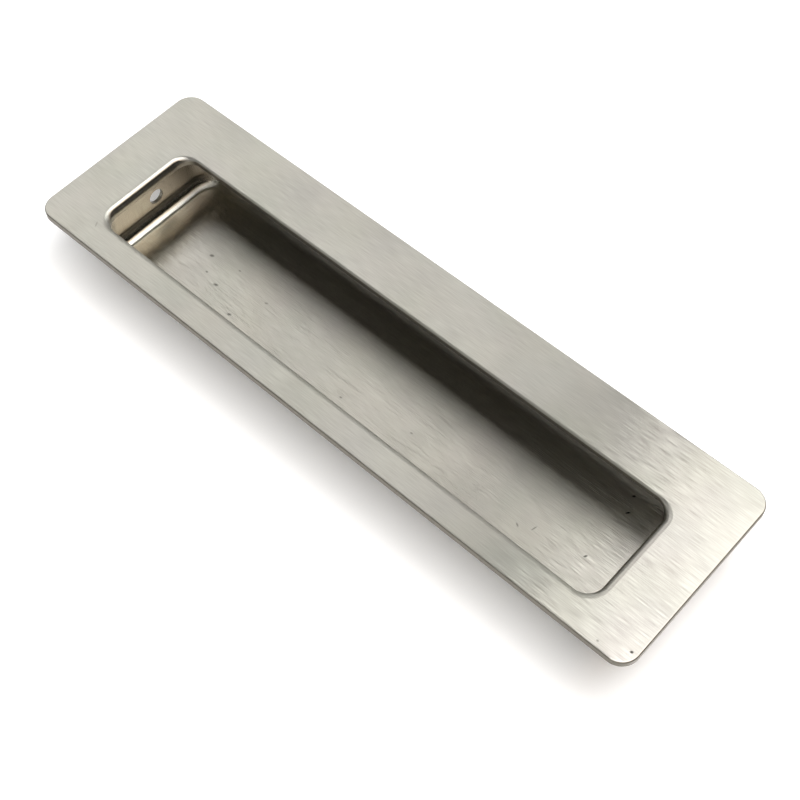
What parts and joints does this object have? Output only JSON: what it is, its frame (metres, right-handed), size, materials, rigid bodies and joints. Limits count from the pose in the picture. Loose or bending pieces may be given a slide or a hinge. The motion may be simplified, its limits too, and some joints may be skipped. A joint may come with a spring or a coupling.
{
  "type": "recessed door pull plate",
  "caption": "Recessed pull for a sliding door: a brushed stainless plate with a lip rolled round three sides of its opening, and a drawn pan behind it that leaves a finger ledge.",
  "frame": {"origin": "under the middle of the pan, on the surface that the pull lies on, face up", "axes": "+X along the plate, +Y across it towards the wide flange, +Z out of the door through the plate's face"},
  "size_m": [0.14, 0.04, 0.0128],
  "materials": {
    "plate_steel": "brushed along its length",
    "pan_steel": "drawn: floor brushed along its length, walls smooth"
  },
  "bodies": {
    "root": {"front_plate": "plate_steel", "recess_pan": "pan_steel"}
  },
  "joints": []
}
